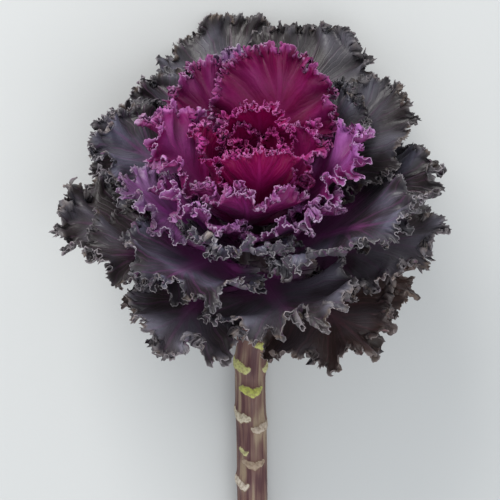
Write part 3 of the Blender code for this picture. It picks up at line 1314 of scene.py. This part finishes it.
# a bowl, and the fields of LeafPaint in order, up to the shine, for the leaves on it
PAINTS: tuple[tuple[float, tuple[Any, ...]], ...] = (
    (0.0, (
        (.12, .0003, .026), (.24, .0005, .058), (.30, .008, .11), (.40, .02, .19),
        (.64, .20, .45), (.32, .015, .16), (.22, .0005, .058), 0.15, 0.42, 0.5, 1.2, 0.50, 0.15
    )),
    (8.0, (
        (.12, .0003, .028), (.22, .0005, .058), (.30, .012, .13), (.40, .04, .25),
        (.62, .26, .55), (.30, .02, .19), (.21, .0008, .058), 0.20, 0.44, 0.6, 1.8, 0.48, 0.20
    )),
    (12.5, (
        (.11, .0003, .032), (.12, .0006, .042), (.24, .015, .13), (.27, .055, .20),
        (.54, .36, .54), (.20, .020, .12), (.17, .003, .062), 0.35, 0.50, 0.7, 3.0, 0.46, 0.28
    )),
    (15.0, (
        (.17, .002, .075), (.17, .006, .095), (.26, .03, .20), (.34, .12, .34),
        (.56, .42, .58), (.29, .08, .30), (.16, .008, .080), 0.60, 0.54, 0.7, 3.0, 0.45, 0.36
    )),
    (19.0, (
        (.26, .014, .24), (.11, .014, .10), (.26, .04, .29), (.17, .10, .19),
        (.54, .46, .56), (.24, .11, .27), (.13, .030, .11), 0.55, 0.54, 0.6, 3.1, 0.44, 0.42
    )),
    (22.0, (
        (.34, .045, .27), (.024, .018, .021), (.25, .06, .22), (.076, .071, .077),
        (.50, .45, .49), (.112, .110, .155), (.092, .076, .092),
        0.85, 0.42, 0.38, 3.2, 0.38, 0.62
    )),
    (28.0, (
        (.28, .042, .22), (.022, .017, .018), (.17, .048, .14), (.070, .064, .066),
        (.46, .41, .44), (.100, .097, .130), (.078, .068, .074), 0.80, 0.42, 0.38, 3.2, 0.40, 0.60
    )),
    (35.0, (
        (.10, .018, .085), (.029, .022, .022), (.11, .038, .095), (.108, .096, .098),
        (.42, .36, .38), (.112, .106, .128), (.082, .068, .068), 0.65, 0.40, 0.36, 3.2, 0.45, 0.56
    )),
    (41.0, (
        (.075, .016, .022), (.058, .028, .021), (.25, .10, .08), (.110, .082, .070),
        (.36, .28, .25), (.078, .058, .054), (.085, .050, .042), 0.45, 0.40, 0.36, 3.2, 0.48, 0.45
    )),
)


@dataclass(frozen=True)
class Repaint:
    """How one leaf's colour departs from the colour of its bowl; its lightness partly paints light
    on leaves in shade and shade on leaves that catch the lamp.
    """

    further_out: float = 0.0  # how many bowls further out its paint belongs
    # lightness: partly the leaf's own tone, partly painted light on leaves that lie in shade and
    # painted shade on leaves that catch the lamp
    light: float = 1.0


REPAINTED: dict[str, Repaint] = {
    "middle_leaf_01": Repaint(3.0, 1.1),
    "middle_leaf_02": Repaint(-0.6, 0.86),
    "middle_leaf_03": Repaint(0.7, 1.2),
    "middle_leaf_04": Repaint(1.2, 1.1),
    "middle_leaf_05": Repaint(-2.2, 0.92),
    "middle_leaf_08": Repaint(11.0, 0.70),
    "middle_leaf_10": Repaint(2.0, 1.15),
    "middle_leaf_11": Repaint(-1.2, 1.3),
    "outer_leaf_01": Repaint(11.0, 0.72),
    "outer_leaf_05": Repaint(9.0, 0.72),
    "outer_leaf_06": Repaint(-4.7, 1.1),
    "outer_leaf_11": Repaint(0.0, 1.35),
    "outer_leaf_13": Repaint(0.0, 1.6),
    "skirt_leaf_02": Repaint(-3.0, 1.5),
}


@dataclass(frozen=True)
class Head:
    """The rings of leaves round the heart."""

    plant: Plant
    most_columns: int = 640
    column_width: float = 0.0155  # in folds
    first_seed: int = 100
    pattern_shift: float = 3.7

    def columns(self, plan: LeafPlan) -> int:
        """Choose how many columns half a leaf needs.

        Args:
            plan: The leaf.

        Returns:
            A multiple of 16 that gives its finest waves enough points.
        """
        width = self.column_width * Frill.at(plan.bowl).fold_period
        edge = 1.15 * plan.length + 0.5 * plan.widest
        coarsest = LeafSheet.STEPS[0]
        return int(min(edge / width, self.most_columns) // coarsest * coarsest)

    def build(self) -> list[bpy.types.Object]:
        """Build and dress every leaf.

        Returns:
            The leaves.
        """
        made = []
        for number, plan in enumerate(LEAVES):
            frill, columns = Frill.at(plan.bowl), self.columns(plan)
            sheet = LeafSheet(plan, frill, columns, self.plant, self.first_seed + number)
            change = REPAINTED.get(plan.name, Repaint())
            paint = LeafPaint.at(plan.bowl + change.further_out)
            shift = number * self.pattern_shift
            surface = paint.surface(f"{plan.name}_skin", shift, change.light)
            leaf = sheet.shell().piece(f"{plan.name}_frilled", surface)
            made.append(settle(leaf, plan.name))
        return made


@dataclass(frozen=True)
class HeartBud:
    """The closed bud: a few tiny frilled leaves wrapped round each other."""

    plant: Plant
    count: int = 7
    longest: float = 23.0
    shorter: float = 0.8  # each leaf than the next one
    half_width: float = 3.4
    bowl_step: float = 0.05
    turn_step: float = 137.5
    columns: int = 112
    first_seed: int = 700
    pattern_shift: float = 1.3

    def build(self) -> bpy.types.Object:
        """Build and dress the bud.

        Returns:
            The bud.
        """
        shells = []
        for number in range(self.count):
            plan = LeafPlan(
                name=f"bud_leaf_{number:02d}",
                bowl=self.bowl_step * number,
                angle=self.turn_step * number,
                length=self.longest - self.shorter * (self.count - number),
                widest=self.half_width,
                sweep=0.0,
            )
            seed = self.first_seed + number
            shells.append(LeafSheet(plan, Frill.at(0.0), self.columns, self.plant, seed).shell())
        surface = LeafPaint.at(0.0).surface("heart_bud_skin", self.pattern_shift)
        bud = reduce(Shell.joined, shells).piece("heart_bud_frilled", surface)
        return settle(bud, "heart_bud")


@dataclass(frozen=True)
class Scar:
    """A crescent left on the stem by a fallen leaf."""

    below: float
    turn: float
    height: float
    half_width: float
    tall: float
    tone: float


@dataclass(frozen=True)
class Stem:
    """The bare stem with its bend, flutes, leaf scars and cut end."""

    plant: Plant
    top: float = -28.5
    bend_from: float = -76.0
    bend_length: float = 34.0
    slope: float = 4.6
    length: float = 206.0
    radius: float = 6.3
    tip_radius: float = 1.6
    clearance: float = 0.35
    seed: int = 41
    sides: int = 120
    cuts: tuple[int, int] = (18, 18)
    insets: Knots = (0.015, 0.06, 0.1, 0.15, 0.2, 0.2)
    end: float = 0.4999  # height on the plain cylinder from which a point is on its end
    sharp_from: float = 50.0
    step: float = 0.25
    scars: tuple[Scar, ...] = (
        Scar(115.0, 228.0, 1.3, 5.5, 4.2, 0.75),
        Scar(105.0, 130.0, 1.2, 5.0, 3.6, 0.9),
        Scar(114.5, 98.0, 1.0, 4.0, 3.4, 0.6),
        Scar(125.0, 178.0, 1.4, 5.5, 3.6, 1.0),
        Scar(136.0, 222.0, 1.2, 5.0, 3.8, 0.12),
        Scar(140.0, 138.0, 1.2, 5.0, 3.4, -0.35),
        Scar(151.0, 212.0, 0.7, 2.5, 2.2, 0.6),
        Scar(155.5, 173.0, 1.0, 5.5, 3.0, -0.8),
        Scar(164.0, 228.0, 1.4, 4.5, 3.6, 0.0),
        Scar(178.0, 130.0, 1.0, 4.5, 3.0, 0.35),
    )

    def middle(self, below: Array) -> tuple[Array, Array]:
        """Find the middle line of the stem.

        Args:
            below: Distances below the heart.

        Returns:
            Points of the middle line and the stem's direction towards the floor there.
        """
        posture, bend = self.plant.posture, -self.bend_from
        fine = np.arange(-self.top, self.length + self.step, self.step)
        slope = np.radians(
            np.interp(fine, [bend, bend + self.bend_length], [posture.lean, self.slope])
        )
        heart = np.array(posture.heart)
        start = heart + self.top * posture.axes[0]
        y = start[1] - np.cumsum(np.cos(slope)) * self.step
        z = start[2] - np.cumsum(np.sin(slope)) * self.step
        nothing = np.zeros_like(below)
        line = np.stack(
            [nothing + heart[0], np.interp(below, fine, y), np.interp(below, fine, z)], axis=-1
        )
        slope = np.interp(below, fine, slope)
        return line, np.stack([nothing, np.sin(slope), -np.cos(slope)], axis=-1)

    def plain_radius(self, below: Array) -> Array:
        """Give the radius before flutes and scars.

        Args:
            below: Distances below the heart.

        Returns:
            The radius at each distance.
        """
        starts, radii = self.plant.bowls.starts, self.plant.bowls.radii
        crown = np.interp(-below, starts[::-1], radii[::-1]) - self.clearance
        tip = min(radii[0] - self.clearance, self.tip_radius)
        crown = np.where(below < -starts[0], tip, crown)
        bare = np.clip((below + starts[-1]) / 20, 0, 1)
        return crown * (1 - bare) + self.radius * bare

    def shape(self, below: Array, turn: Array) -> tuple[Array, dict[str, Array]]:
        """Work the flutes and scars into the surface.

        Args:
            below: Distances below the heart.
            turn: Angles round the stem, 0 towards the floor.

        Returns:
            The radius, and what the material reads: the scars' presence, tone and dots.
        """
        draw = np.random.default_rng(self.seed)
        radius = self.plain_radius(below)
        bare = ease(70.0, 95.0, below)
        flute = 0.035 * (1 + np.cos(5 * turn + 0.25 * np.sin(below / 17))) / 2
        ridge = 0.012 * np.cos(13 * turn + 0.8 * np.sin(below / 23) + 1.0)
        ridge = ridge + 0.006 * np.cos(29 * turn + 1.3 * np.sin(below / 14))
        radius = radius * (1 - flute * bare - ridge * bare)
        scar_mask, tone, dots = (np.zeros_like(below) for _ in range(3))
        for scar in self.scars:
            around = (turn - math.radians(scar.turn) + math.pi) % (2 * math.pi) - math.pi
            x = around * self.radius / scar.half_width
            y = (scar.below - below) / scar.tall
            tilt = -0.75 * math.sin(math.radians(scar.turn))
            curve = 0.5 * x**2 + tilt * x
            curve = curve + 0.10 * np.sin(5 * x + scar.below) + 0.05 * np.sin(13 * x)
            taper = np.sqrt(np.maximum(1 - x**2, 0.0))
            middle = y - curve + 0.35
            inside = (1 - ease(0.32, 0.62, np.abs(middle) / np.maximum(taper, 0.05))) * taper
            ledge = np.exp(-(((middle + 0.15) / 0.75) ** 2)) * np.exp(-((x / 0.95) ** 4))
            radius = radius + scar.height * (0.75 * ledge + 0.25 * inside)
            present = ease(0.15, 0.5, inside)
            tone = np.where(present > scar_mask, scar.tone, tone)
            scar_mask = np.maximum(scar_mask, present)
            for spot in np.linspace(-0.6, 0.6, 4) + draw.uniform(-0.08, 0.08, 4):
                far = ((x - spot) * scar.half_width) ** 2
                far = far + ((y - 0.55 * spot**2 + 0.35) * scar.tall) ** 2
                dots = np.maximum(dots, np.exp(-far / 0.16))
        return radius, {"scar": scar_mask, "tone": tone, "dots": dots}

    def build(self) -> bpy.types.Object:
        """Build and dress the stem.

        Returns:
            The stem.
        """
        bpy.ops.object.select_all(action="DESELECT")
        bpy.ops.mesh.primitive_cylinder_add(
            vertices=self.sides, radius=1.0, depth=1.0, end_fill_type="NGON"
        )
        stem = bpy.context.object
        stem.name = stem.data.name = "stem_scarred"
        mesh = stem.data
        for cuts in self.cuts:
            self.cut_rings(mesh, cuts)
        normal_up = fill_array(mesh.polygons, "normal", 3, np.float32)[:, 2]
        with picked(mesh.polygons, "FACE", np.abs(normal_up) > 0.9):
            for width in self.insets:
                bpy.ops.mesh.inset(thickness=width, depth=0.0)
            bpy.ops.mesh.poke()
        self.bend(mesh)
        with picked(mesh.polygons, "FACE", np.ones(len(mesh.polygons), bool)):
            bpy.ops.mesh.normals_make_consistent(inside=False)
            bpy.ops.mesh.select_all(action="DESELECT")
        bpy.ops.object.shade_smooth_by_angle(angle=math.radians(self.sharp_from))
        mesh.materials.clear()
        mesh.materials.append(StemBark().surface("stem_bark"))
        return settle(stem, "stem")

    def cut_rings(self, mesh: bpy.types.Mesh, cuts: int) -> None:
        """Cut every lengthwise edge of the cylinder.

        Args:
            mesh: The cylinder.
            cuts: Cuts in each edge.
        """
        height = fill_array(mesh.vertices, "co", 3, np.float32)[:, 2]
        ends = height[fill_array(mesh.edges, "vertices", 2, np.int32)]
        with picked(mesh.edges, "EDGE", np.abs(ends[:, 0] - ends[:, 1]) > 1e-4):
            bpy.ops.mesh.subdivide(number_cuts=cuts)

    def bend(self, mesh: bpy.types.Mesh) -> None:
        """Turn the upright cylinder into the bent stem, and store what its material reads.

        Args:
            mesh: The cylinder, 1 high about its middle, its cut end up.
        """
        flat = fill_array(mesh.vertices, "co", 3, np.float32).astype(float)
        height = flat[:, 2]
        below = (self.length - self.top) / 2 + height * (self.length + self.top)
        turn = np.arctan2(flat[:, 1], flat[:, 0])
        share = np.hypot(flat[:, 0], flat[:, 1])
        radius, readings = self.shape(below, turn)
        dome = np.where(share < 0.999, 0.25 * ease(0.4, 0.95, share), 0.0)
        below = below - dome * np.sign(height)
        line, backward = self.middle(below)
        posture = self.plant.posture
        points = (
            line
            + (share * radius * np.cos(turn))[:, None] * backward
            + (share * radius * np.sin(turn))[:, None] * posture.axes[2]
        )
        points = posture.out_of_true(points)
        mesh.vertices.foreach_set("co", (points * MM).astype(np.float32).ravel())
        readings["pith"] = np.where(np.abs(height) > self.end, 1 - share, 0.0)
        readings["cut"] = np.where((height > self.end) & (share < 0.985), 1.0, 0.0)
        readings["below"] = below
        readings["turn_sine"], readings["turn_cosine"] = np.sin(turn), np.cos(turn)
        store_readings(mesh, readings)
        mesh.update()


@dataclass(frozen=True)
class StemBark:
    """The stem's skin: dull purple-brown with pale lengthwise ribs, scars, a pale cut end, and
    painted shade near the crown, where it lies under the leaves.
    """

    dark: Colour = (0.078, 0.026, 0.029)
    mid: Colour = (0.145, 0.074, 0.060)
    pale: Colour = (0.27, 0.20, 0.13)
    # crown: painted shade on the stem where it lies under the leaves
    crown: Colour = (0.030, 0.014, 0.024)
    scar_cream: Colour = (0.56, 0.49, 0.40)
    scar_green: Colour = (0.44, 0.47, 0.10)
    scar_brown: Colour = (0.30, 0.21, 0.14)
    # scar_edge: partly the scars' own dark edge, partly a painted shadow under their ledges
    scar_edge: Colour = (0.17, 0.11, 0.065)
    dot: Colour = (0.10, 0.07, 0.04)
    flesh: Colour = (0.62, 0.62, 0.40)
    pith: Colour = (0.75, 0.73, 0.60)

    def surface(self, name: str) -> bpy.types.Material:
        """Make the stem's material.

        Args:
            name: The material's name.

        Returns:
            The material.
        """
        bench = Bench(name)
        below, sine, cosine, scar, tone, dots, pith, cut = (
            bench.reading(key)
            for key in ("below", "turn_sine", "turn_cosine", "scar", "tone", "dots", "pith", "cut")
        )
        place = bench.object_place()
        cloud = bench.noise(place, 70.0, 2.0)
        speck = bench.noise(place, 900.0, 3.0, 0.6)
        fibre = bench.noise(bench.vector(sine * 9.0, cosine * 9.0, below * 0.035), 1.0, 3.0, 0.6)
        band = bench.noise(bench.vector(sine * 2.4, cosine * 2.4, below * 0.045), 1.0, 1.0)
        # bark in three tones, then scars, cut end and the painted shade of the crown over it
        tan = band + (cloud - 0.5) * 0.35 + (fibre - 0.5) * 0.3
        skin = bench.mix(tan.rise(0.34, 0.50), self.dark, self.mid)
        skin = bench.mix(tan.rise(0.50, 0.66) * 0.9, skin, self.pale)
        # the dark outline round each scar is partly its own dark edge, partly a painted shadow
        # under its ledge
        skin = bench.mix(scar.rise(0.02, 0.30), skin, self.scar_edge)
        face = bench.mix(tone.most(0.0), self.scar_cream, self.scar_green)
        face = bench.mix((0.0 - tone).most(0.0), face, self.scar_brown)
        face = bench.mix(speck.rise(0.45, 0.62) * 0.5, face, self.scar_edge)
        jagged = scar + (speck - 0.5) * 0.8 + (cloud - 0.5) * 0.5
        skin = bench.mix(jagged.rise(0.35, 0.8), skin, face)
        skin = bench.mix(dots * scar.rise(0.3, 0.7) * 0.6, skin, self.dot)
        flesh = bench.mix(pith.rise(0.25, 0.4), self.flesh, self.pith)
        skin = bench.mix(cut, skin, flesh)
        # painted shade: the stem darkens towards the crown, under the leaves
        skin = bench.mix((1.0 - below.rise(78.0, 96.0)) * 0.9, skin, self.crown)
        shade = 0.75 + fibre * 0.25 + speck * 0.25
        skin = bench.shaded(skin, shade)
        relief = fibre * 0.6 + speck * 0.25 + cloud * 0.3
        bump = bench.bump(0.6, 0.0006, relief)
        return bench.finish(
            Base_Color=skin,
            Roughness=0.5 + (speck - 0.5) * 0.3,
            Normal=bump,
            IOR=1.42,
        )


@dataclass(frozen=True)
class Studio:
    """The pale floor, the soft lights and the camera above the plant."""

    floor_half: float = 4.0
    floor_tone: Colour = (0.56, 0.57, 0.56)
    fleck_tone: Colour = (0.5, 0.51, 0.5)
    camera_offset: Place = (-0.75, -44.3, 621.0)  # from the heart, in millimetres
    lens: float = 120.0
    lamps_aim: Place = (0.0, 0.03, 0.04)
    sky: Colour = (0.88, 0.91, 0.96)
    sky_strength: float = 0.76

    def floor(self) -> None:
        """Lay the floor."""
        bpy.ops.object.select_all(action="DESELECT")
        bpy.ops.mesh.primitive_plane_add(size=2 * self.floor_half)
        floor = bpy.context.object
        floor.name = "studio_floor"
        bench = Bench("studio_floor_paper")
        place = bench.object_place()
        grain = bench.noise(place, 900.0, 2.0)
        tone = bench.mix(grain * 0.1, self.floor_tone, self.fleck_tone)
        bump = bench.bump(0.1, 0.0003, grain)
        floor.data.materials.append(bench.finish(Base_Color=tone, Roughness=0.85, Normal=bump))

    def lamp(self, name: str, place: Place, size: float, power: float, tone: Colour) -> None:
        """Hang a soft lamp that shines at the head.

        Args:
            name: The lamp's name.
            place: Where it hangs, in metres.
            size: The side of its square, in metres.
            power: Its power in watts.
            tone: Its colour.
        """
        light = bpy.data.lights.new(name, "AREA")
        light.shape, light.size, light.energy, light.color = "SQUARE", size, power, tone
        lamp = bpy.data.objects.new(name, light)
        lamp.location = place
        ahead = Vector(self.lamps_aim) - lamp.location
        lamp.rotation_euler = ahead.to_track_quat("-Z", "Y").to_euler()
        bpy.context.scene.collection.objects.link(lamp)

    def lights(self) -> None:
        """Hang the lamps and light the room."""
        self.lamp("window_light", (-0.38, 0.84, 0.66), 0.60, 9.0, (1.0, 0.98, 0.96))
        self.lamp("fill_light", (0.20, -0.50, 1.0), 0.9, 5.8, (0.94, 0.97, 1.0))
        world = bpy.data.worlds.new("studio_air")
        world.use_nodes = True
        air = world.node_tree.nodes["Background"]
        air.inputs[0].default_value = (*self.sky, 1.0)
        air.inputs[1].default_value = self.sky_strength
        bpy.context.scene.world = world
        bpy.context.scene.view_settings.view_transform = "Standard"

    def camera(self, posture: Posture) -> None:
        """Put the camera straight above the plant, its top towards the head's top.

        Args:
            posture: How the plant lies.
        """
        view = bpy.data.cameras.new("camera")
        view.lens, view.clip_end = self.lens, 20.0
        camera = bpy.data.objects.new("camera", view)
        camera.location = [
            (heart + away) * MM for heart, away in zip(posture.heart, self.camera_offset)
        ]
        bpy.context.scene.collection.objects.link(camera)
        bpy.context.scene.camera = camera

    def build(self, posture: Posture) -> None:
        """Set up the whole studio.

        Args:
            posture: How the plant lies.
        """
        self.floor()
        self.lights()
        self.camera(posture)


def main() -> None:
    """Build the studio, the stem, the bud and the leaves, and log how many leaves there are."""
    logging.basicConfig(level=logging.INFO, format="%(name)s: %(message)s")
    bowls, posture = BowlFamily(), Posture()
    plant = Plant(bowls, posture, Crowding(LEAVES, bowls))
    Studio().build(posture)
    Stem(plant).build()
    HeartBud(plant).build()
    leaves = Head(plant).build()
    LOG.info("%d leaves", len(leaves))
    bpy.context.view_layer.update()


if __name__ == "__main__":
    main()
